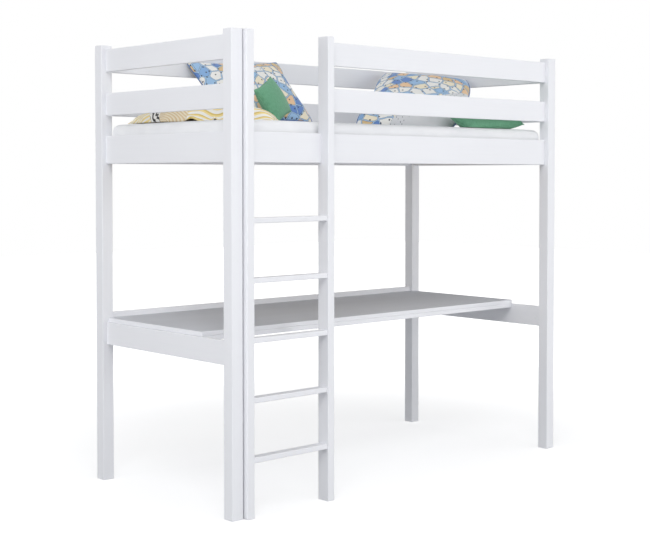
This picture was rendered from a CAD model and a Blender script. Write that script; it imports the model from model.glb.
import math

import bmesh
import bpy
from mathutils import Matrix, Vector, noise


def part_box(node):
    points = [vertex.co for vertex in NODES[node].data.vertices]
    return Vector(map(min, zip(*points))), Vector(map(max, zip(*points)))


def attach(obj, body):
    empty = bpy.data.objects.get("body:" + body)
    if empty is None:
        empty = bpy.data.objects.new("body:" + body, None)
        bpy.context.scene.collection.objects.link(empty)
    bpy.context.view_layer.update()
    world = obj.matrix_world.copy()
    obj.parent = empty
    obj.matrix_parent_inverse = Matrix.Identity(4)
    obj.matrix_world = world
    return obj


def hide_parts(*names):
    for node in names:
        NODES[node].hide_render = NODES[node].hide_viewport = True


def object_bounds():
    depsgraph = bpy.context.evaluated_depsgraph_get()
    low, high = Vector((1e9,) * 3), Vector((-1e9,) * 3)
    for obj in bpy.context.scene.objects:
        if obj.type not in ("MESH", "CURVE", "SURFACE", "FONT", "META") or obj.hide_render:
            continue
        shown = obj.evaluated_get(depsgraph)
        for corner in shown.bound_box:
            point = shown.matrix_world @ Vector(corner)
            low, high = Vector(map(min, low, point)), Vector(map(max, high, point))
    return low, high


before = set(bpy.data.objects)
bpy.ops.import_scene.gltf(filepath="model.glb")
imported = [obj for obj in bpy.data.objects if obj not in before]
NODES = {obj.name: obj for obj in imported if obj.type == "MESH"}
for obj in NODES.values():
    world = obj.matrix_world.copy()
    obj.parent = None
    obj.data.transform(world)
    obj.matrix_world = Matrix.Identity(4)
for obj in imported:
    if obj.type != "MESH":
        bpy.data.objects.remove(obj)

# %% [markdown]
# # A cabin bed with a desk and a ladder
# The bed is a white wooden high sleeper: a bed at head height, a ladder built into its
# front and a desk board underneath. Its boards, slats and fastenings come from the packed
# CAD model, which is loaded above as a fixed frame. This script gives them their finishes,
# makes the bedding, and sets up the camera, the floor and the light.
# Everything is in metres. X runs along the bed, Y from its front to its rear, Z up.

cad_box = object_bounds()
BODY = "root"
MM = 0.001
print("CAD box", [round(x, 4) for corner in cad_box for x in corner])

# %% [markdown]
# ## Camera
# The photograph was taken from the front left, with the camera at 1.4 m, just below the
# bed's rails, so the desk shows its top while the bed hides what lies on it. Its upright
# edges hardly lean together, which is what a lens shift gives: the camera looks almost
# level and the picture is cut from below the middle. A part of that is a real tilt here,
# so that the views from higher up cut less of the bed off.

# %% Camera
TILT_DOWN, TURN_RIGHT = 1.80, 42.358  # degrees, from level and from facing the rear
camera_data = bpy.data.cameras.new("camera")
camera_data.lens = 70.56
camera_data.sensor_width = 36
camera_data.shift_y = -0.09385
camera = bpy.data.objects.new("camera", camera_data)
camera.location = (-4.1910, -4.4949, 1.3972)
camera.rotation_euler = (math.radians(90 - TILT_DOWN), 0, math.radians(-TURN_RIGHT))
bpy.context.scene.collection.objects.link(camera)
bpy.context.scene.camera = camera
print("camera", tuple(round(x, 3) for x in camera.location), "lens", camera_data.lens)

# %% [markdown]
# ## Writing materials
# A material is a tree of nodes. Built by hand, each sum takes five lines, so a small class
# stands for one socket and lets Python's own signs add the Math nodes: `1 - mask` or
# `grain * 0.5 + pores`. Every other node comes from one method, `add`, which takes the
# node's type, its settings and what goes into its sockets. Colours are written as the eye
# reads them, 0 to 255, and turned into the linear numbers that a shader wants.

# %% Colours and sockets
def paint(red, green, blue):
    """A colour as the eye reads it, 0 to 255, in linear numbers."""
    def linear(c):
        c /= 255
        return c / 12.92 if c <= 0.04045 else ((c + 0.055) / 1.055) ** 2.4

    return (linear(red), linear(green), linear(blue), 1.0)


class Wire:
    """One output socket of a finish, with arithmetic."""

    def __init__(self, finish, socket):
        self.finish, self.socket = finish, socket

    def math(self, operation, *values):
        inputs = dict(enumerate(values))
        return self.finish.add("Math", {"operation": operation}, inputs)

    def __add__(self, other):
        return self.math("ADD", self, other)

    def __sub__(self, other):
        return self.math("SUBTRACT", self, other)

    def __rsub__(self, other):
        return self.math("SUBTRACT", other, self)

    def __mul__(self, other):
        return self.math("MULTIPLY", self, other)

    def __truediv__(self, other):
        return self.math("DIVIDE", self, other)

    def __rtruediv__(self, other):
        return self.math("DIVIDE", other, self)

    __radd__, __rmul__ = __add__, __mul__

    def sin(self):
        return self.math("SINE", self)

    def abs(self):
        return self.math("ABSOLUTE", self)

    def fract(self):
        return self.math("FRACT", self)

    def over(self, low, high):
        """0 below low, 1 above high and smooth between them."""
        settings = {"interpolation_type": "SMOOTHSTEP"}
        return self.finish.add("MapRange", settings, {0: self, 1: low, 2: high})


class Finish:
    """A material with one shader, whose nodes are added one by one."""

    def __init__(self, name, **constants):
        self.material = bpy.data.materials.new(name)
        self.material.use_nodes = True
        self.tree = self.material.node_tree
        self.tree.nodes.clear()
        self.shader = self.tree.nodes.new("ShaderNodeBsdfPrincipled")
        output = self.tree.nodes.new("ShaderNodeOutputMaterial")
        self.tree.links.new(self.shader.outputs[0], output.inputs[0])
        for socket, value in constants.items():
            self.shader.inputs[socket.replace("_", " ")].default_value = value

    def add(self, kind, settings=None, inputs=None, output=0):
        """Adds a node of any type and returns one of its outputs."""
        node = self.tree.nodes.new("ShaderNode" + kind)
        for key, value in (settings or {}).items():
            if key == "stops":
                ramp = node.color_ramp
                while len(ramp.elements) < len(value):
                    ramp.elements.new(1)
                for element, (position, colour) in zip(ramp.elements, value):
                    element.position, element.color = position, colour
            elif key == "ramp":
                node.color_ramp.interpolation = value
            else:
                setattr(node, key, value)
        for key, value in (inputs or {}).items():
            self.plug(value, node.inputs[key])
        return Wire(self, node.outputs[output])

    def plug(self, value, socket):
        if isinstance(value, Wire):
            self.tree.links.new(value.socket, socket)
        else:
            socket.default_value = value

    def place(self):
        """Where a point lies on the bed, in metres."""
        return self.add("TexCoord", output="Object")

    def cut(self):
        """Where a point lies on the flat cloth, in metres, from the piece's UV map."""
        return self.add("UVMap", {"uv_map": "cut"})

    def parts(self, vector):
        split = self.add("SeparateXYZ", {}, {0: vector}).socket.node
        return [Wire(self, split.outputs[i]) for i in range(3)]

    def scaled(self, vector, scale, turn=0.0, move=(0, 0, 0)):
        inputs = {"Vector": vector, "Scale": scale, "Location": move,
                  "Rotation": (0, 0, math.radians(turn))}
        return self.add("Mapping", {}, inputs)

    def noise(self, vector, scale=1.0, detail=2.0, roughness=0.5):
        inputs = {"Vector": vector, "Scale": scale, "Detail": detail, "Roughness": roughness}
        return self.add("TexNoise", {}, inputs)

    def mix(self, factor, first, second, blend="MIX"):
        settings = {"data_type": "RGBA", "blend_type": blend}
        return self.add("Mix", settings, {0: factor, 6: first, 7: second}, output=2)

    def bump(self, height, strength, distance):
        inputs = {"Height": height, "Strength": strength, "Distance": distance}
        return self.add("Bump", {}, inputs)

    def wear(self, **inputs):
        """Feeds the shader's sockets and returns the finished material."""
        for socket, value in inputs.items():
            self.plug(value, self.shader.inputs[socket.replace("_", " ")])
        return self.material


print("a mid grey reads", [round(c, 3) for c in paint(128, 128, 128)])

# %% [markdown]
# ## White lacquer
# The boards are pine under a covering white lacquer with a satin surface. At arm's length
# they look plain, but the grain still telegraphs through as shallow ridges that run along
# each board, and the spray leaves a fine orange peel. Noise that is stretched along the
# board makes the grain. Posts, long boards and cross boards run along different axes, so
# the same finish is made three times, one for each direction. The desk board's working
# surface is matt and a shade greyer than its edges, as the photograph shows it. The mask
# for it is the height of the surface, read from the board's own box.

# %% White lacquer
ALONG_X, ALONG_Y, ALONG_Z = 0, 1, 2


def stretch(axis, along, across):
    """Noise scales, per metre, for a grain that runs along one axis."""
    return tuple(along if i == axis else across for i in range(3))


def white_lacquer(axis, name="white_lacquer", gloss=0.3, matt=0.0, surface=None):
    """The lacquer on a board along one axis; above the height surface it is greyer."""
    f = Finish(name + "_along_" + "xyz"[axis], Specular_IOR_Level=gloss)
    place = f.place()
    ridges = f.noise(f.scaled(place, stretch(axis, 2.2, 95)), detail=3, roughness=0.6)
    pores = f.noise(f.scaled(place, stretch(axis, 14, 520)), detail=2)
    peel = f.noise(place, 900, detail=1)
    drift = f.noise(f.scaled(place, stretch(axis, 1.1, 5.0)), detail=2)
    drifting = drift.over(0.3, 0.7)
    tone = f.mix(drifting, paint(241, 242, 246), paint(243, 244, 248))
    colour = f.mix(ridges.over(0.35, 0.75) * 0.3, tone, paint(238, 239, 244))
    if surface:
        on_top = f.parts(place)[2].over(surface - 0.8 * MM, surface - 0.4 * MM)
        greyer = f.mix(drifting, paint(215, 218, 225), paint(219, 222, 229))
        colour = f.mix(on_top, colour, greyer)
    height = ridges * 0.6 + pores * 0.3 + peel * 0.12
    return f.wear(
        Base_Color=colour,
        Roughness=0.44 + matt + ridges * 0.08 + peel * 0.04,
        Normal=f.bump(height, 0.05 if surface else 0.14, 0.6 * MM),
    )


LACQUER = [white_lacquer(axis) for axis in (ALONG_X, ALONG_Y, ALONG_Z)]
DESK_LACQUER = white_lacquer(ALONG_X, "matt_desk_lacquer", gloss=0.06, matt=0.15,
                             surface=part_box("desk_top")[1].z)
print("lacquers:", [m.name for m in LACQUER], DESK_LACQUER.name)

# %% [markdown]
# ## Raw pine
# The slats under the mattress lie along Y. They are planed pine without a finish: pale
# yellow early wood, browner lines of late wood a few millimetres apart, and a knot here
# and there. Bands across the board, bent by noise, give the lines. The knots are the
# centres of a Voronoi pattern that is stretched along the board, and the lines bend round
# them because the same distance is added to the bands.

# %% Raw pine
def raw_pine():
    f = Finish("raw_pine_along_y")
    place = f.place()
    cells = {"Vector": f.scaled(place, stretch(ALONG_Y, 1.9, 7.5)), "Randomness": 0.9}
    knots = f.add("TexVoronoi", {}, cells, output="Distance")
    wander = f.noise(f.scaled(place, stretch(ALONG_Y, 1.3, 16)), detail=3)
    x, _, z = f.parts(place)
    bands = (x + z * 0.6) * 150 + wander * 26 + 1.6 / (knots + 0.12)
    rings = (bands * 2.0).sin()
    streaks = f.noise(f.scaled(place, stretch(ALONG_Y, 9, 420)), detail=2)
    wood = f.mix(rings.over(-0.2, 1.0) * 0.75, paint(238, 217, 181), paint(216, 181, 135))
    wood = f.mix(streaks.over(0.45, 0.8) * 0.35, wood, paint(204, 168, 124))
    knot = 1 - knots.over(0.035, 0.085)
    wood = f.mix(knot * 0.85, wood, paint(122, 78, 44))
    return f.wear(
        Base_Color=wood,
        Roughness=0.62 - knot * 0.2 + streaks * 0.1,
        Normal=f.bump(rings * 0.5 + streaks, 0.3, 0.5 * MM),
    )


PINE = raw_pine()
print("pine:", PINE.name)

# %% [markdown]
# ## Dowels, bolts, screws and caps
# The bed comes apart: bolts run through the posts into cross nuts in the rails, with beech
# dowels beside them. Beech is a pinkish wood with short darker flecks. The steel is zinc
# plated, which gives a pale metal with cloudy patches of different roughness. The bolt
# heads are hidden by white plastic caps with a faint moulded texture.

# %% Fastening finishes
def beech():
    f = Finish("flecked_beech")
    place = f.place()
    flecks = f.noise(f.scaled(place, (700, 700, 150)), detail=1)
    tone = f.noise(place, 60, detail=2)
    wood = f.mix(tone.over(0.3, 0.7), paint(224, 186, 144), paint(209, 166, 122))
    wood = f.mix(flecks.over(0.62, 0.72) * 0.6, wood, paint(168, 118, 78))
    return f.wear(Base_Color=wood, Roughness=0.55 + tone * 0.1,
                  Normal=f.bump(flecks, 0.2, 0.3 * MM))


def zinc():
    f = Finish("zinc_plate", Metallic=1.0)
    place = f.place()
    clouds = f.noise(place, 180, detail=4, roughness=0.65)
    colour = f.mix(clouds.over(0.3, 0.7), paint(205, 208, 214), paint(184, 187, 192))
    return f.wear(Base_Color=colour, Roughness=0.22 + clouds * 0.22,
                  Normal=f.bump(clouds, 0.15, 0.2 * MM))


def white_cap():
    f = Finish("cap_plastic")
    skin = f.noise(f.place(), 1400, detail=2)
    colour = f.mix(skin, paint(242, 243, 247), paint(238, 239, 243))
    return f.wear(Base_Color=colour, Roughness=0.42 + skin * 0.1,
                  Normal=f.bump(skin, 0.25, 0.2 * MM))


BEECH, ZINC, CAP = beech(), zinc(), white_cap()
print("fastening finishes:", BEECH.name, ZINC.name, CAP.name)

# %% [markdown]
# ## Which piece has which finish
# The names of the CAD nodes say what each piece is and which way it runs. The bedding is
# left out here, because scene pieces stand for it further down.

# %% Finishes of the CAD pieces
SOFT = ("mattress", "pillow_left", "pillow_right", "cushion_left", "cushion_right", "blanket")
ACROSS_BED = ("bed_rail_", "guard_", "desk_end")


def finish_of(name):
    if name.endswith("_dowels"):
        return BEECH
    if name == "bolt_caps":
        return CAP
    if name in ("rail_bolts", "cross_dowel_nuts") or name.endswith("_screws"):
        return ZINC
    if name == "desk_top":
        return DESK_LACQUER
    if name.startswith("slat_") and "ledger" not in name:
        return PINE
    if name.startswith(("post_", "ladder_stile")):
        return LACQUER[ALONG_Z]
    if name.startswith(ACROSS_BED) and name.endswith(("left", "right")):
        return LACQUER[ALONG_Y]
    return LACQUER[ALONG_X]


for name, node in NODES.items():
    if name not in SOFT:
        for material_slot in node.material_slots:
            material_slot.material = finish_of(name)
print(len(NODES) - len(SOFT), "CAD pieces have their finish")

# %% [markdown]
# ## Covers over the cross nuts
# Each cross nut is pushed into its rail from the inside, and the photograph shows the
# insides of the rails plain. Small white covers close the holes there, as they do on real
# knock-down beds. The nuts are separate shells in one CAD node, so each shell's box says
# where a nut is and which way it points, and a shallow bevelled disc goes on its end.

# %% Nut covers
def shells(mesh):
    """The separate shells of a mesh, as lists of points."""
    bm = bmesh.new()
    bm.from_mesh(mesh)
    bmesh.ops.remove_doubles(bm, verts=bm.verts, dist=1e-6)
    left, found = set(bm.verts), []
    while left:
        shell, front = set(), [left.pop()]
        while front:
            vert = front.pop()
            shell.add(vert)
            near = {e.other_vert(vert) for e in vert.link_edges} & left
            left -= near
            front.extend(near)
        found.append([v.co.copy() for v in shell])
    bm.free()
    return found


def size_of(points):
    """The lowest and highest x, y and z of some points."""
    return [(min(p[i] for p in points), max(p[i] for p in points)) for i in range(3)]


def new_piece(name, bm, *materials):
    """Makes a scene piece of a bmesh, smooth, with its place in its mesh."""
    mesh = bpy.data.meshes.new(name)
    bm.to_mesh(mesh)
    bm.free()
    for material in materials:
        mesh.materials.append(material)
    mesh.shade_smooth()
    piece = bpy.data.objects.new(name + "_piece", mesh)
    bpy.context.scene.collection.objects.link(piece)
    return piece


COVER_RADIUS, COVER_TOP, COVER_HEIGHT = 7.5 * MM, 7.5 * MM * 0.82, 1.4 * MM
bed_middle = (cad_box[0] + cad_box[1]) / 2
nuts = shells(NODES["cross_dowel_nuts"].data)
bm = bmesh.new()
for nut in nuts:
    spans = size_of(nut)
    axis = max((0, 1), key=lambda i: spans[i][1] - spans[i][0])
    centre = Vector(sum(span) / 2 for span in spans)
    inward = 1 if centre[axis] < bed_middle[axis] else -1
    centre[axis] = spans[axis][inward > 0]
    made = bmesh.ops.create_cone(bm, cap_ends=True, segments=20, radius1=COVER_RADIUS,
                                 radius2=COVER_TOP, depth=COVER_HEIGHT)["verts"]
    way = Vector((0, 0, 0))
    way[axis] = inward
    turn = Vector((0, 0, 1)).rotation_difference(way).to_matrix()
    for v in made:
        v.co = turn @ (v.co + Vector((0, 0, COVER_HEIGHT / 2))) + centre
covers = new_piece("nut_covers", bm, CAP)
covers.data.shade_flat()
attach(covers, BODY)
print("covers on", len(nuts), "nuts")

# %% [markdown]
# ## Fabrics
# All the bedding is cotton. A woven cloth has two sets of threads at right angles, and at
# the scale of a bed they show as a fine, slightly uneven crosshatch and as a soft edge to
# every highlight. Two sine waves across the cloth make the threads. They read the piece's
# own UV map, which is the flat cut of the cloth in metres, so the threads and the print
# follow the seams and stay on the surface. A sheen on the shader stands for the fluff.

# %% Cotton
def cotton(name):
    return Finish(name, Sheen_Weight=0.25, Sheen_Roughness=0.5, Specular_IOR_Level=0.25)


def weave(f, cut, pitch=0.0016):
    """Heights of the threads and of the soft creases in the cloth, 0 to 1."""
    uneven = f.noise(cut, 260, detail=2) * 3
    x, y, _ = f.parts(cut)
    turn = 2 * math.pi / pitch
    threads = ((x * turn + uneven).sin() + (y * turn + uneven).sin()) * 0.25 + 0.5
    creases = f.noise(f.scaled(cut, (9, 6, 1), turn=30), detail=4, roughness=0.6)
    return threads, creases


def cotton_skin(f, threads, creases, colour):
    """Shades a colour by the weave and the creases and feeds the shader."""
    in_shade = f.mix(1.0, colour, paint(205, 208, 218), "MULTIPLY")
    shaded = f.mix(0.35 - creases * 0.3, colour, in_shade)
    height = threads * 0.35 + creases * 2.2
    return f.wear(Base_Color=shaded, Roughness=0.86 - threads * 0.08,
                  Normal=f.bump(height, 0.4, 1.2 * MM))


# %% [markdown]
# ## The pillow print
# The pillow cases have a busy children's print: light blue ground with angular patches in
# peach, sand, white and a deeper blue, each with a thin dark outline, and small dark dots.
# This print is a generic one in those colours and at that scale. A Voronoi pattern cuts
# the cloth into patches, its cell number picks a colour from a stepped ramp, the distance
# to the cell's edge draws the outline, and a second pattern scatters the dots.

# %% Printed and plain cotton
GROUND_BLUE, INK = paint(170, 202, 233), paint(52, 54, 72)
PATCH_SIZE = 0.050
PATCHES = [
    # where a colour starts on the ramp, and the colour
    (0.00, paint(162, 198, 232)), (0.24, paint(108, 146, 208)), (0.36, paint(244, 207, 166)),
    (0.47, paint(248, 247, 242)), (0.66, paint(142, 182, 226)), (0.77, paint(228, 198, 148)),
    (0.85, paint(250, 240, 214)),
]


def patch_print(f, cut):
    """The print's colour: the ground, the patches, their outlines and the dots."""
    wobble = f.add("TexNoise", {}, {"Vector": cut, "Scale": 30}, "Color")
    bent = f.add("VectorMath", {"operation": "ADD"},
                 {0: cut, 1: f.scaled(wobble, (0.012, 0.012, 0))})
    flat = {"voronoi_dimensions": "2D"}
    cell = {"Vector": bent, "Scale": 1 / PATCH_SIZE, "Randomness": 0.85}
    hue = f.parts(f.add("TexVoronoi", flat, cell, "Color"))[0]
    patches = f.add("ValToRGB", {"stops": PATCHES, "ramp": "CONSTANT"}, {0: hue})
    edge = f.add("TexVoronoi", {"feature": "DISTANCE_TO_EDGE", **flat}, cell, "Distance")
    colour = f.mix(edge.over(0.06, 0.07), GROUND_BLUE, patches)
    outline = edge.over(0.045, 0.058) * (1 - edge.over(0.075, 0.088))
    dots = {"Vector": f.scaled(cut, (1, 1, 1), move=(0.013, 0.019, 0)),
            "Scale": 1.3 / PATCH_SIZE, "Randomness": 0.75}
    dot = 1 - f.add("TexVoronoi", flat, dots, "Distance").over(0.09, 0.13)
    return f.mix(dot * 0.9, f.mix(outline * 0.8, colour, INK), INK)


def printed_cotton(name, plain_from=None):
    """plain_from = (x, y, reach): past that line on the cut the cloth is plain, and a
    strip next to the line has a sprinkle of drops."""
    f = cotton(name)
    cut = f.cut()
    threads, creases = weave(f, cut)
    colour = patch_print(f, cut)
    if plain_from:
        x, y, _ = f.parts(cut)
        past = x * plain_from[0] + y * plain_from[1] - plain_from[2]
        drops = {"Vector": f.scaled(cut, (1, 0.6, 1), turn=24), "Scale": 70, "Randomness": 0.5}
        centre = f.add("TexVoronoi", {"voronoi_dimensions": "2D"}, drops, "Distance")
        drop = (1 - centre.over(0.1, 0.16)) * (1 - past.over(0.05, 0.07))
        bare = f.mix(drop * 0.8, paint(226, 227, 229), paint(74, 76, 92))
        colour = f.mix(past.over(0, 0.006), colour, bare)
    return cotton_skin(f, threads, creases, colour)


def plain_cotton(name, light, dark):
    """Cotton of one colour, whose threads are a little lighter or darker."""
    f = cotton(name)
    cut = f.cut()
    threads, creases = weave(f, cut)
    heather = f.noise(f.scaled(cut, (420, 60, 1)), detail=2)
    colour = f.mix(heather.over(0.3, 0.7) * 0.8, light, dark)
    return cotton_skin(f, threads, creases, colour)


PRINT = printed_cotton("patchwork_print")
PRINT_WITH_BAND = printed_cotton("patchwork_print_with_plain_band",
                                 plain_from=(0.80, -0.60, 0.115))
PIPING = plain_cotton("blue_piping", paint(88, 128, 192), paint(72, 106, 168))
GREEN = plain_cotton("green_weave", paint(122, 183, 146), paint(98, 160, 124))
print("fabrics:", PRINT.name, PRINT_WITH_BAND.name, PIPING.name, GREEN.name)

# %% [markdown]
# ## Pillows and cushions
# A pillow case is two flat pieces of cloth sewn together round the edge and stuffed. That
# is how it is made here: two grids share their outer edge, bulge apart and pull in
# between the corners. The lower grid is turned over, so that all faces point outwards,
# and the squares at the four tips are split from the tip inwards, so that no two
# triangles coincide. The cloth simulation then blows the cases up with a little air while
# the cloth is told to be a few per cent larger than the form, so it puckers along the
# seams as a real case does. How far a point may move levels off at a cap, so the piece
# keeps the place that its CAD solid holds. Afterwards the piece is turned to lean as in
# the photograph, and the parts that press on the mattress, the boards or a neighbour are
# flattened.

# %% Sewn cases
CASES = {
    # name: (width, length and thickness in metres, roll, lean and heading in degrees)
    "pillow_left": (0.555, 0.415, 0.120, 4, 49, -3),
    "pillow_right": (0.465, 0.575, 0.150, -12, 29, -49),
    "cushion_left": (0.190, 0.190, 0.078, 25, 68, 14),
    "cushion_right": (0.446, 0.223, 0.105, 8, 31, -4),
}
CAD_PULL = {"pillow": 0.05, "cushion": 0.06}
# How far each side pulls in (left, right, front, rear of the flat piece), how much the
# corners are rounded, how far the foot of the leaning piece sags, and how boxy the
# stuffing is: 3 fills the case to its edges and 2 leaves it thin there.
SHAPE = {
    "pillow_left": ((0.00, -0.03, 0.05, 0.05), 0.035, 0.010, 3.0),
    "pillow_right": ((-0.05, -0.18, 0.00, 0.03), 0.040, 0.042, 3.0),
    "cushion_left": ((0.04, 0.04, 0.04, 0.04), 0.000, 0.008, 2.2),
    "cushion_right": ((-0.03, 0.06, 0.00, 0.04), -0.020, 0.036, 3.2),
}
CLOTH_STEP = {"pillow": 8.5 * MM, "cushion": 6 * MM}
CLOTH_CAP = {"pillow": 16 * MM, "cushion": 9 * MM}
LOWER_CUT = 0.9  # the y on the cut round which the lower piece of cloth lies


def case_point(u, w, side, size, pulls, corner=0.0, full=3.0):
    """A point of a stuffed case, whose two sheets each span -1 to 1 in u and w."""
    width, length, thickness = size
    crown = math.sqrt(max(0.0, (1 - abs(u) ** full) * (1 - abs(w) ** full)))
    ears = 1 - corner * u ** 4 * w ** 4
    x_pull = pulls[0] if u < 0 else pulls[1]
    y_pull = pulls[2] if w < 0 else pulls[3]
    return Vector((width / 2 * u * (1 - x_pull * (1 - w * w)) * ears,
                   length / 2 * w * (1 - y_pull * (1 - u * u)) * ears,
                   side * thickness / 2 * crown))


def sewn_case(name, size):
    """Two sheets of cloth that are joined round their edge, as a bmesh."""
    step = CLOTH_STEP[name.split("_")[0]]
    width, length, _ = size
    pulls, corner, _, full = SHAPE[name]
    columns, rows = round(width / step), round(length / step)
    bm = bmesh.new()
    cut = bm.loops.layers.uv.new("cut")
    for side in (1, -1):
        made = bmesh.ops.create_grid(bm, x_segments=columns, y_segments=rows, size=1.0)["verts"]
        for face in {f for v in made for f in v.link_faces}:
            for loop in face.loops:
                x, y, _ = loop.vert.co
                loop[cut].uv = (x * width / 2, y * length / 2 + (LOWER_CUT if side < 0 else 0))
        for v in made:
            v.co = case_point(v.co.x, v.co.y, side, size, pulls, corner, full)
        if side < 0:
            under = list({f for v in made for f in v.link_faces})
            bmesh.ops.reverse_faces(bm, faces=under)
    edge = [v for v in bm.verts if v.is_boundary]
    bmesh.ops.remove_doubles(bm, verts=edge, dist=0.2 * MM)
    for tip in [v for v in bm.verts if len(v.link_edges) == 2]:
        for face in list(tip.link_faces):
            around = list(face.verts)
            bmesh.utils.face_split(face, tip, around[(around.index(tip) + 2) % 4])
    bm.normal_update()
    return bm


forms, posed, cases = {}, {}, {}
steps = [i / 16 - 1 for i in range(33)]  # where the CAD solid has its points
for name, (*size, roll, lean, heading) in CASES.items():
    bm = sewn_case(name, size)
    litres = bm.calc_volume(signed=True) * 1000
    turn = (Matrix.Rotation(math.radians(heading), 3, "Z")
            @ Matrix.Rotation(math.radians(lean), 3, "X")
            @ Matrix.Rotation(math.radians(roll), 3, "Z"))
    pulls = [CAD_PULL[name.split("_")[0]]] * 4
    solid = [turn @ case_point(u, w, side, size, pulls)
             for side in (1, -1) for u in steps for w in steps]
    middle = [sum(span) / 2 for span in size_of(solid)]
    posed[name] = (turn, (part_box(name)[0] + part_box(name)[1]) / 2 - Vector(middle))
    forms[name] = [v.co.copy() for v in bm.verts]
    cut = bm.loops.layers.uv["cut"]
    seam = [e for e in bm.edges if len({loop[cut].uv.y > LOWER_CUT / 2
                                        for face in e.link_faces for loop in face.loops}) > 1]
    for e in seam:
        e.seam = True
    cases[name] = new_piece(name, bm, PRINT)
    print(name, "cloth:", len(cases[name].data.polygons), "faces, seam of", len(seam),
          "edges,", round(litres, 2), "litres inside")

# %% [markdown]
# The simulation runs once for all four pieces: twenty frames, without gravity, with a
# small pressure inside. Its result is read from the evaluated mesh and written back as
# plain vertex positions, so no Cloth modifier stays on a piece.

# %% Stuffing the cases
def stuff_with_air(pieces, frames=20):
    """Runs the cloth simulation and returns the points of each blown up piece."""
    scene = bpy.context.scene
    for piece in pieces:
        cloth = piece.modifiers.new("stuffing", "CLOTH")
        settings = cloth.settings
        settings.quality = 6
        settings.mass = 0.25
        settings.use_pressure = True
        settings.uniform_pressure_force = 4.0
        settings.shrink_min = -0.07
        settings.tension_stiffness = 12
        settings.compression_stiffness = 12
        settings.bending_stiffness = 0.4
        settings.effector_weights.gravity = 0
        cloth.point_cache.frame_start, cloth.point_cache.frame_end = 1, frames
    for number in range(1, frames + 1):
        scene.frame_set(number)
    graph = bpy.context.evaluated_depsgraph_get()
    blown = {piece.name: [v.co.copy() for v in piece.evaluated_get(graph).data.vertices]
             for piece in pieces}
    for piece in pieces:
        piece.modifiers.remove(piece.modifiers["stuffing"])
    scene.frame_set(1)
    return blown


def matched(points, form):
    """Stretches blown points back to the form's own width, length and thickness."""
    have, want = size_of(points), size_of(form)
    grow = [(w[1] - w[0]) / (h[1] - h[0]) for h, w in zip(have, want)]
    return [Vector((p[i] - sum(have[i]) / 2) * grow[i] + sum(want[i]) / 2 for i in range(3))
            for p in points]


blown = stuff_with_air(list(cases.values()))
for name, piece in cases.items():
    cap = CLOTH_CAP[name.split("_")[0]]
    moved = []
    for v, start, new in zip(piece.data.vertices, forms[name],
                             matched(blown[piece.name], forms[name])):
        step = new - start
        v.co = start + step.normalized() * cap * math.tanh(step.length / cap)
        moved.append(step.length)
    print(name, "moved up to", round(max(moved) * 1000, 1), "mm, capped at", cap * 1000)

# %% [markdown]
# A pillow that leans on a board isn't a rigid form. Where it stands on the mattress its
# foot sags and is pressed flat, and where a cushion leans on it the two share one plane.
# The same planes were used for the CAD solids: a point that passes one is moved back.

# %% Leaning the cases
GAP = 0.3 * MM


def keep_behind(mesh, way, reach):
    """Moves the points of a mesh that pass a plane, along its direction, back onto it."""
    pressed = 0
    for v in mesh.vertices:
        over = v.co.dot(way) - reach
        if over > 0:
            v.co -= way * over
            pressed += 1
    return pressed


UP, RIGHT, BACK = Vector((0, 0, 1)), Vector((1, 0, 0)), Vector((0, 1, 0))
cushion_way = posed["cushion_left"][0] @ UP
touch = max(v.co.dot(cushion_way) for v in NODES["pillow_left"].data.vertices)
PRESSED = {
    "pillow_left": [(-UP, -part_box("pillow_left")[0].z), (BACK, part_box("pillow_left")[1].y),
                    (cushion_way, touch)],
    "pillow_right": [(-UP, -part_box("pillow_right")[0].z), (RIGHT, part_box("pillow_right")[1].x),
                     (-BACK, -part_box("pillow_right")[0].y)],
    "cushion_left": [(-UP, -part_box("cushion_left")[0].z), (-cushion_way, -touch - GAP)],
    "cushion_right": [(-UP, -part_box("cushion_right")[0].z),
                      (BACK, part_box("cushion_right")[1].y)],
}
for name, piece in cases.items():
    turn, at = posed[name]
    floor_z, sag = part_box(name)[0].z, SHAPE[name][2]
    for v in piece.data.vertices:
        v.co = turn @ v.co + at
    top = max(v.co.z for v in piece.data.vertices)
    for v in piece.data.vertices:
        v.co.z -= sag * ((top - v.co.z) / (top - floor_z)) ** 2
    flat = [keep_behind(piece.data, way, reach) for way, reach in PRESSED[name]]
    print(name, "points pressed flat by each plane:", flat)

# %% [markdown]
# The seam of each case carries a thin piping: a cord in its own strip of cloth, sewn in
# between the two pieces. The edges of the seam were marked while the case was flat, so
# the piping is a tube that follows them in order, whatever the simulation did.

# %% Piping
def seam_loop(mesh):
    """The seam's points in order round the piece."""
    bm = bmesh.new()
    bm.from_mesh(mesh)
    start = next(e for e in bm.edges if e.seam)
    loop, edge, vert = [start.verts[0].co.copy()], start, start.verts[1]
    while (vert.co - loop[0]).length > 1e-9:
        loop.append(vert.co.copy())
        edge = next(e for e in vert.link_edges if e.seam and e != edge)
        vert = edge.other_vert(vert)
    bm.free()
    return loop


def piping(name, loop, radius, material):
    """A thin closed tube along a loop of points."""
    curve = bpy.data.curves.new(name, "CURVE")
    curve.dimensions = "3D"
    curve.bevel_depth = radius
    curve.bevel_resolution = 1
    spline = curve.splines.new("POLY")
    spline.points.add(len(loop) - 1)
    for point, co in zip(spline.points, loop):
        point.co = (*co, 1)
    spline.use_cyclic_u = True
    rough = bpy.data.objects.new(name + "_path", curve)
    bpy.context.scene.collection.objects.link(rough)
    graph = bpy.context.evaluated_depsgraph_get()
    mesh = bpy.data.meshes.new_from_object(rough.evaluated_get(graph))
    bpy.data.objects.remove(rough)
    mesh.name = name
    mesh.materials.clear()
    mesh.materials.append(material)
    mesh.shade_smooth()
    piece = bpy.data.objects.new(name, mesh)
    bpy.context.scene.collection.objects.link(piece)
    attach(piece, BODY)
    return piece


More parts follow.
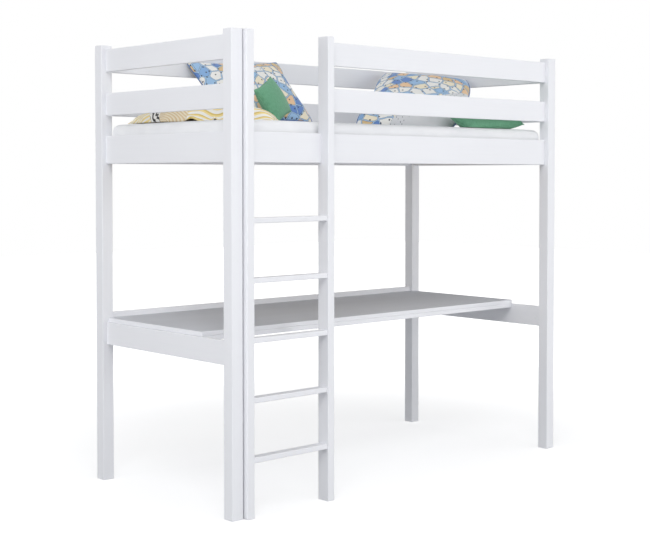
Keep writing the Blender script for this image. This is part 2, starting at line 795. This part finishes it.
CASE_LOOKS = {"pillow_left": (PRINT, PIPING, "printed_cotton"),
              "pillow_right": (PRINT_WITH_BAND, PIPING, "printed_cotton"),
              "cushion_left": (GREEN, GREEN, "green_cotton"),
              "cushion_right": (GREEN, GREEN, "green_cotton")}
for name, piece in cases.items():
    cloth, trim, material_slot = CASE_LOOKS[name]
    piece.data.materials[0] = cloth
    loop = seam_loop(piece.data)
    radius = 0.0021 if trim is PIPING else 0.0016
    loop = [Vector((p.x, p.y, max(p.z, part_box(name)[0].z + radius))) for p in loop]
    piping(name + "_piping", loop, radius, trim)
    smooth = piece.modifiers.new("smooth", "SUBSURF")
    smooth.levels = smooth.render_levels = 1
    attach(piece, BODY)
    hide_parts(name)
    print(name, "piping of", len(loop), "points")

# %% [markdown]
# ## Mattress
# A foam mattress in a white fitted sheet. The sheet is drawn over the block and its
# elastic hem grips underneath, so the upper edge is round and soft, the corners are
# rounded, the sides show shallow upright draws, and the underside shows a rim of sheet
# round the mattress's own ticking. A cube with bevelled edges gives the block. A voxel
# remesh then gives even points all over it, and each point moves a little along its
# normal: a crown on top, draws on the sides and the step at the hem.

# %% Mattress
CORNER, TOP_EDGE, LOWER_EDGE, CROWN = 32 * MM, 32 * MM, 12 * MM, 4 * MM
CROWN_REACH = 0.08  # how far in from the side the crown takes to rise
HEM = 0.105  # how far in from the side the sheet's hem lies underneath


def ease(x):
    """0 below 0, 1 above 1 and smooth between them."""
    x = min(1.0, max(0.0, x))
    return x * x * (3 - 2 * x)


def mattress_block(low, high):
    size = high - low - Vector((0, 0, CROWN))
    bm = bmesh.new()
    bmesh.ops.create_cube(bm, size=1.0)
    bmesh.ops.scale(bm, verts=bm.verts, vec=size)
    bmesh.ops.translate(bm, verts=bm.verts, vec=low + size / 2)

    def bevel(edges, offset, segments):
        bmesh.ops.bevel(bm, geom=edges, offset=offset, offset_type="OFFSET", segments=segments,
                        profile=0.5, affect="EDGES", material=-1)

    def level(e, z):
        return all(abs(v.co.z - z) < 1e-5 for v in e.verts)

    def upright(e):
        return abs(e.verts[0].co.z - e.verts[1].co.z) > size.z / 2

    bevel([e for e in bm.edges if upright(e)], CORNER, 8)
    bevel([e for e in bm.edges if level(e, low.z + size.z)], TOP_EDGE, 6)
    bevel([e for e in bm.edges if level(e, low.z)], LOWER_EDGE, 3)
    return bm


low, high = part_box("mattress")
mattress = new_piece("mattress", mattress_block(low, high))
voxels = mattress.modifiers.new("voxels", "REMESH")
voxels.mode = "VOXEL"
voxels.voxel_size = 10 * MM
graph = bpy.context.evaluated_depsgraph_get()
even = bpy.data.meshes.new_from_object(mattress.evaluated_get(graph))
mattress.modifiers.remove(voxels)
mattress.data = even
even.name = "mattress"

middle, half = (low + high) / 2, (high - low) / 2


def inset_of(point):
    """How far a point lies in from the nearest side of the mattress."""
    return min(half.x - abs(point.x - middle.x), half.y - abs(point.y - middle.y))


bm = bmesh.new()
bm.from_mesh(even)
bmesh.ops.smooth_vert(bm, verts=bm.verts, factor=0.5, use_axis_x=True, use_axis_y=True,
                      use_axis_z=True)
bm.normal_update()
for v in bm.verts:
    inset = inset_of(v.co)
    side = 1 - abs(v.normal.z)
    if v.normal.z > 0:
        v.co.z += CROWN * ease(inset / CROWN_REACH) * v.normal.z
    along = v.co.x + v.co.y * 1.7
    draw = noise.noise(Vector((along * 9, 0.3, v.co.z * 2.5)))
    swell = noise.noise(Vector((v.co.x * 2.2, v.co.y * 2.2, 4)))
    v.co -= v.normal * (side * (1.2 + 1.2 * draw) + (1 - side) * 0.6 * (1 + swell)) * MM
    if v.normal.z < -0.5:
        gather = 8 * MM * noise.noise(Vector((v.co.x * 30, v.co.y * 30, 9)))
        v.co.z = max(v.co.z, low.z) + (2.0 * MM if inset > HEM + gather else 0.0)
for face in bm.faces:
    inset = inset_of(face.calc_center_median())
    face.material_index = int(face.normal.z < -0.7 and inset > HEM)
    face.smooth = True
bm.to_mesh(even)
bm.free()


def sheet_cotton(name, light, dark, quilted=0.0):
    """White cotton on object coordinates: the threads cross on every side of a block.
    quilted is the pitch of the quilting's diagonal lines."""
    f = cotton(name)
    place = f.place()
    uneven = f.noise(place, 260) * 3
    x, y, z = f.parts(place)
    turn = 2 * math.pi / (1.8 * MM)
    threads = (x * turn + uneven).sin() + (y * turn + uneven).sin() + (z * turn + uneven).sin()
    threads = threads * 0.17 + 0.5
    creases = f.noise(f.scaled(place, (5, 7, 9)), detail=4, roughness=0.55)
    height = threads * 0.3 + creases * 2.0
    if quilted:
        beat = math.pi / quilted
        lines = ((x + y) * beat).sin().abs() * ((x - y) * beat).sin().abs()
        height = height + lines.over(0, 0.25) * 3
    return f.wear(Base_Color=f.mix(creases.over(0.35, 0.7), light, dark),
                  Roughness=0.88 - threads * 0.06, Normal=f.bump(height, 0.35, 1.5 * MM))


SHEET = sheet_cotton("fitted_sheet", paint(240, 241, 243), paint(234, 235, 238))
TICKING = sheet_cotton("quilted_ticking", paint(228, 229, 232), paint(219, 221, 226),
                       quilted=0.06)
even.materials.clear()
even.materials.append(SHEET)
even.materials.append(TICKING)
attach(mattress, BODY)
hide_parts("mattress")
print("mattress:", len(even.polygons), "faces")

# %% [markdown]
# ## Blanket
# A thin cotton blanket lies bunched across the left end of the bed. It is one sheet of
# cloth that has been pushed together into long folds, so it is made as one: a grid whose
# rows run up and down over each fold while its columns run along them. The folds wander
# and differ in height, they lean over a little, and they sink at the ends and the sides
# of the bundle, which stays in the space of its CAD solid. In a few places the front hem
# has turned up and shows the lining. The flat size that is declared is the length of the
# cloth along one row and one column.

# %% Blanket
BUNDLE_LENGTH, BUNDLE_WIDTH, BUNDLE_HEIGHT = 0.595, 0.236, 0.086
SLANT, TURN, FOLDS = 0.9, -46, 4
LIFT = 2 * MM  # the cloth's middle lies this far above the mattress
HEM_SHARE, HEM_RADIUS = 0.06, 7 * MM
TURNED_UP = ((-0.50, 0.15), (-0.07, 0.06))  # where along the hem, and how wide
ALONG, ACROSS = 96, 176


def fold_point(u, q):
    """A point of the bundle: u runs along it from -1 to 1, q across the cloth from 0 to 1."""
    number = min(int(q * FOLDS), FOLDS - 1)
    t = q * FOLDS - number
    pitch = BUNDLE_WIDTH / FOLDS
    inside = math.sin(math.pi * q)
    wander = noise.noise(Vector((u * 1.7, q * 2.3, 0.5)))
    depth = 0.14 + 0.80 * ease(u + 1) * ease((1 - u) / 0.5 + 0.4)
    depth *= 0.8 + 0.4 * noise.noise(Vector((u * 1.9, number * 3.1, 7.0)))
    rise = 1 - depth * (0.5 + 0.5 * math.cos(2 * math.pi * t))
    y = (q - 0.5) * BUNDLE_WIDTH - math.sin(4 * math.pi * t) * 0.13 * pitch * depth * inside
    y += (0.9 * wander + 0.4 * (rise - 1 + depth)) * pitch * inside
    v = max(-1.0, min(1.0, 2 * y / BUNDLE_WIDTH))
    dome = math.sqrt((1 - abs(u) ** 3) * (1 - v ** 4))
    tall = BUNDLE_HEIGHT * (0.92 + 0.10 * noise.noise(Vector((u * 2.1, q * 3.7, 2.0))))
    ripple = 1.6 * MM * noise.noise(Vector((u * 9, q * 16, 1.0))) * dome
    x = (BUNDLE_LENGTH * u - BUNDLE_WIDTH * v * SLANT * (1 - u) / 2) / 2
    x += 16 * MM * u ** 5 * (noise.noise(Vector((u, q * 7, 11.0))) - 0.3)
    lift = max(math.exp(-(((u - middle) / wide) ** 2)) for middle, wide in TURNED_UP)
    curl = 2.6 * lift * max(0.0, 1 - q / HEM_SHARE)
    out = HEM_RADIUS * lift
    return Vector((x, y * (1 + 0.1 * u) - out * math.sin(curl),
                   LIFT + tall * dome * rise + ripple + out * (1 - math.cos(curl))))


low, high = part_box("blanket")
turn = Matrix.Rotation(math.radians(TURN), 3, "Z")
bm = bmesh.new()
cut = bm.loops.layers.uv.new("cut")
bmesh.ops.create_grid(bm, x_segments=ALONG, y_segments=ACROSS, size=1.0)
flat_at = {v: (v.co.x, (v.co.y + 1) / 2) for v in bm.verts}
for v in bm.verts:
    v.co = turn @ fold_point(*flat_at[v])
ROW_STEPS = 400
row = [fold_point(0, i / ROW_STEPS) for i in range(ROW_STEPS + 1)]
cloth_width = sum((b - a).length for a, b in zip(row, row[1:]))
column = [fold_point(2 * i / ALONG - 1, 0.35) for i in range(ALONG + 1)]
climb = [0.0]  # how much longer the cloth is than the bundle, up to each column
for a, b in zip(column, column[1:]):
    climb.append(climb[-1] + math.hypot(b.x - a.x, b.z - a.z) - (b.x - a.x))
cloth_length = BUNDLE_LENGTH + climb[-1]
for face in bm.faces:
    for loop in face.loops:
        u, q = flat_at[loop.vert]
        extra = climb[round((u + 1) / 2 * ALONG)] - climb[ALONG // 2]
        loop[cut].uv = (fold_point(u, q).x + extra, q * cloth_width)
spans = size_of([v.co for v in bm.verts])
at = Vector(((low.x + high.x - sum(spans[0])) / 2, (low.y + high.y - sum(spans[1])) / 2,
             low.z))
bmesh.ops.translate(bm, verts=bm.verts, vec=at)
area = sum(f.calc_area() for f in bm.faces)
blanket = new_piece("blanket", bm)
print("blanket cloth:", round(cloth_width, 3), "m across the folds,", round(cloth_length, 3),
      "m along them, area", round(area, 3), "m2")

# %% [markdown]
# The blanket's print changes along it: cream stripes at the left tip, a narrow band of
# black chevrons, a fine sand hatch, and then broad wavy stripes in cream and olive yellow
# on white. Each is a stripe along one direction of the cut, bent by a sine for the waves
# and folded by an absolute value for the chevrons. The lining is brown.

# %% Blanket cloth
def striped_cotton():
    f = cotton("striped_blanket")
    cut = f.cut()
    threads, creases = weave(f, cut, pitch=0.0022)
    x, y, _ = f.parts(cut)
    white, cream, olive = paint(252, 250, 244), paint(253, 230, 158), paint(230, 203, 116)
    band = x - y * 0.15
    wave = y + (x * 42).sin() * 0.007 + (x * 17 + y * 9).sin() * 0.006
    broad = (wave / 0.024).fract()
    stripes = f.mix(broad.over(0.42, 0.48), white, cream)
    stripes = f.mix(broad.over(0.72, 0.76), stripes, olive)
    stripes = f.mix(broad.over(0.93, 0.98), stripes, white)
    hatch = ((x + y) / 0.019).fract().over(0.30, 0.70)
    sand = f.mix(hatch, paint(248, 237, 212), paint(230, 205, 160))
    zig = (((y / 0.12).fract() - 0.5).abs() * 0.024 + x) / 0.026
    chevrons = f.mix(zig.fract().over(0.52, 0.58), white, paint(38, 36, 38))
    tip = f.mix(((x * 0.8 + y) / 0.021).fract().over(0.4, 0.5), white, cream)
    colour = f.mix(band.over(-0.335, -0.334), tip, chevrons)
    colour = f.mix(band.over(-0.252, -0.251), colour, sand)
    colour = f.mix(band.over(-0.091, -0.090), colour, stripes)
    return cotton_skin(f, threads, creases, colour)


LINING = plain_cotton("brown_lining", paint(150, 122, 94), paint(126, 102, 80))
blanket.data.materials.append(striped_cotton())
blanket.data.materials.append(LINING)
thick = blanket.modifiers.new("thickness", "SOLIDIFY")
thick.thickness = 2.5 * MM
thick.offset = 0
thick.material_offset = 1
thick.material_offset_rim = 0
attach(blanket, BODY)
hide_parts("blanket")

# %% [markdown]
# ## Floor, backdrop and light
# The product picture has a pure white ground. A plain floor carries the soft shadow, and
# to the camera it glows on top of the light that it reflects, more so far away, so it
# reads as white paper while the shadow under the posts stays visible. The world is white
# to the camera and to mirrors, and a dim even light to everything else. Five large soft
# lamps do the rest. The strongest hangs above the camera's side, and together they make
# the fronts of the boards a little lighter than their left sides.

# %% Floor
FLOOR_SIZE = 30.0


def floor_finish():
    f = Finish("pale_floor")
    place = f.place()
    grit = f.noise(place, 60, detail=3)
    colour = f.mix(grit, paint(192, 193, 195), paint(198, 199, 201))
    f.wear(Base_Color=colour, Roughness=0.9, Normal=f.bump(grit, 0.05, 0.001))
    seen = f.add("LightPath", output="Is Camera Ray")
    far = f.add("VectorMath", {"operation": "LENGTH"}, {0: place}, output="Value")
    strength = 0.62 + far.over(1.2, 4.0) * 0.5
    glow = f.add("Emission", {}, {"Color": (1, 1, 1, 1), "Strength": strength})
    surface = Wire(f, f.shader.outputs[0])
    both = f.add("AddShader", {}, {0: surface, 1: glow})
    shown = f.add("MixShader", {}, {0: seen, 1: surface, 2: both})
    output = next(n for n in f.tree.nodes if n.type == "OUTPUT_MATERIAL")
    f.tree.links.new(shown.socket, output.inputs[0])
    return f.material


bm = bmesh.new()
bmesh.ops.create_grid(bm, x_segments=1, y_segments=1, size=FLOOR_SIZE / 2)
floor_mesh = bpy.data.meshes.new("floor")
bm.to_mesh(floor_mesh)
bm.free()
floor_mesh.materials.append(floor_finish())
floor = bpy.data.objects.new("floor", floor_mesh)
bpy.context.scene.collection.objects.link(floor)

# %% World
AMBIENT = 0.240
world = bpy.data.worlds.new("white_room")
bpy.context.scene.world = world
world.use_nodes = True
sky = world.node_tree
sky.nodes.clear()


def sky_node(kind, inputs=None, operation=None):
    """Adds a node to the world and returns its outputs."""
    node = sky.nodes.new("ShaderNode" + kind)
    if operation:
        node.operation = operation
    for key, value in (inputs or {}).items():
        if isinstance(value, bpy.types.NodeSocket):
            sky.links.new(value, node.inputs[key])
        else:
            node.inputs[key].default_value = value
    return node.outputs


rays = sky_node("LightPath")
mirrors = {0: rays["Is Glossy Ray"], 1: rays["Is Transmission Ray"]}
viewers = {0: rays["Is Camera Ray"], 1: sky_node("Math", mirrors, "MAXIMUM")[0]}
room = sky_node("Background", {"Color": (0.97, 0.98, 1.0, 1), "Strength": AMBIENT})
paper = sky_node("Background", {"Color": (1, 1, 1, 1), "Strength": 1.0})
shares = {0: sky_node("Math", viewers, "MAXIMUM")[0], 1: room[0], 2: paper[0]}
sky_node("OutputWorld", {0: sky_node("MixShader", shares)[0]})
print("world light:", AMBIENT)

# %% Lamps
AIM, LAMP_SIZE = Vector((0, 0, 1.0)), 4.0
LAMPS = {
    # name: (place, power in watts)
    "front_lamp": ((0.5, -7.0, 1.5), 130),
    "front_right_lamp": ((5.0, -5.0, 1.5), 97),
    "camera_side_lamp": ((-4.0, -4.0, 5.5), 178),
    "left_lamp": ((-7.0, 0.0, 1.5), 138),
    "top_lamp": ((0.0, 0.0, 7.0), 70),
}
for name, (place, power) in LAMPS.items():
    light = bpy.data.lights.new(name, "AREA")
    light.shape = "DISK"
    light.size = LAMP_SIZE
    light.energy = power
    lamp = bpy.data.objects.new(name, light)
    lamp.location = place
    lamp.rotation_euler = (AIM - Vector(place)).to_track_quat("-Z", "Y").to_euler()
    bpy.context.scene.collection.objects.link(lamp)
bpy.context.scene.view_settings.view_transform = "Standard"

# %% [markdown]
# ## The sizes, and the end
# The bedding may stand a little proud of the CAD model's box and nothing else may. Both
# boxes go into a small file, so that they can be compared after each render.

# %% Sizes and end
bpy.context.view_layer.update()
